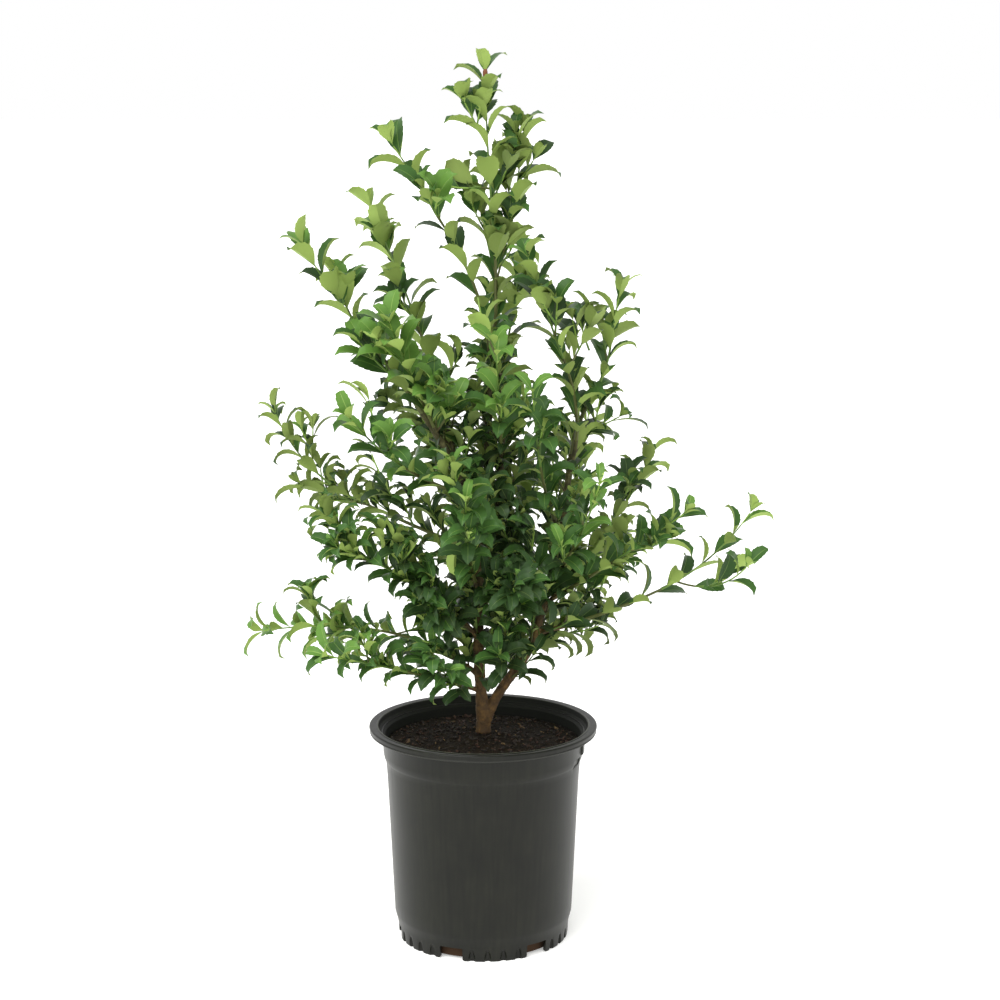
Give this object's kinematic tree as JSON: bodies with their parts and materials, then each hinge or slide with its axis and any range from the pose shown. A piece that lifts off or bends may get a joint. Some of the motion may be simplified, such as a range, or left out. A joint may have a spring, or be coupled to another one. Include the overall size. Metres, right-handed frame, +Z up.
{
  "type": "potted evergreen holly shrub",
  "caption": "Young evergreen shrub with an airy upright cone of toothed, arching leaves on forked stems, standing in a round nursery pot filled with potting soil.",
  "frame": {"origin": "middle of the flat underside of the pot, on the surface that the pot stands on", "axes": "+Z up along the pot's axis; the picture's view looks along +Y, with +X to the right"},
  "size_m": [0.5367, 0.397, 0.8884],
  "materials": {
    "bark": "thin grey-brown bark, green on young shoots",
    "leaf": "glossy dark green above, matte light green below",
    "pot": "moulded black polythene, satin",
    "soil": "loose composted bark, damp"
  },
  "bodies": {
    "root": {"bough_back_bottom": "bark", "bough_back_left": "bark", "bough_back_low": "bark", "bough_back_mid": "bark", "bough_back_right": "bark", "bough_back_top": "bark", "bough_front_bottom": "bark", "bough_front_centre": "bark", "bough_front_high": "bark", "bough_front_inner": "bark", "bough_front_left": "bark", "bough_front_low": "bark", "bough_front_mid": "bark", "bough_front_right": "bark", "bough_front_young": "bark", "bough_high_left": "bark", "bough_inner_left": "bark", "bough_inner_right": "bark", "bough_left_bottom": "bark", "bough_left_low": "bark", "bough_left_mid": "bark", "bough_right_long": "bark", "bough_right_low": "bark", "bough_right_mid": "bark", "foliage_back_bottom": "leaf", "foliage_back_left": "leaf", "foliage_back_low": "leaf", "foliage_back_mid": "leaf", "foliage_back_right": "leaf", "foliage_back_top": "leaf", "foliage_front_bottom": "leaf", "foliage_front_centre": "leaf", "foliage_front_high": "leaf", "foliage_front_inner": "leaf", "foliage_front_left": "leaf", "foliage_front_low": "leaf", "foliage_front_mid": "leaf", "foliage_front_right": "leaf", "foliage_front_young": "leaf", "foliage_high_left": "leaf", "foliage_inner_left": "leaf", "foliage_inner_right": "leaf", "foliage_leader": "leaf", "foliage_left": "leaf", "foliage_left_bottom": "leaf", "foliage_left_low": "leaf", "foliage_left_mid": "leaf", "foliage_right": "leaf", "foliage_right_long": "leaf", "foliage_right_low": "leaf", "foliage_right_mid": "leaf", "pot": "pot", "soil": "soil", "stem_leader": "bark", "stem_left": "bark", "stem_pruned": "bark", "stem_right": "bark", "trunk": "bark"}
  },
  "joints": []
}
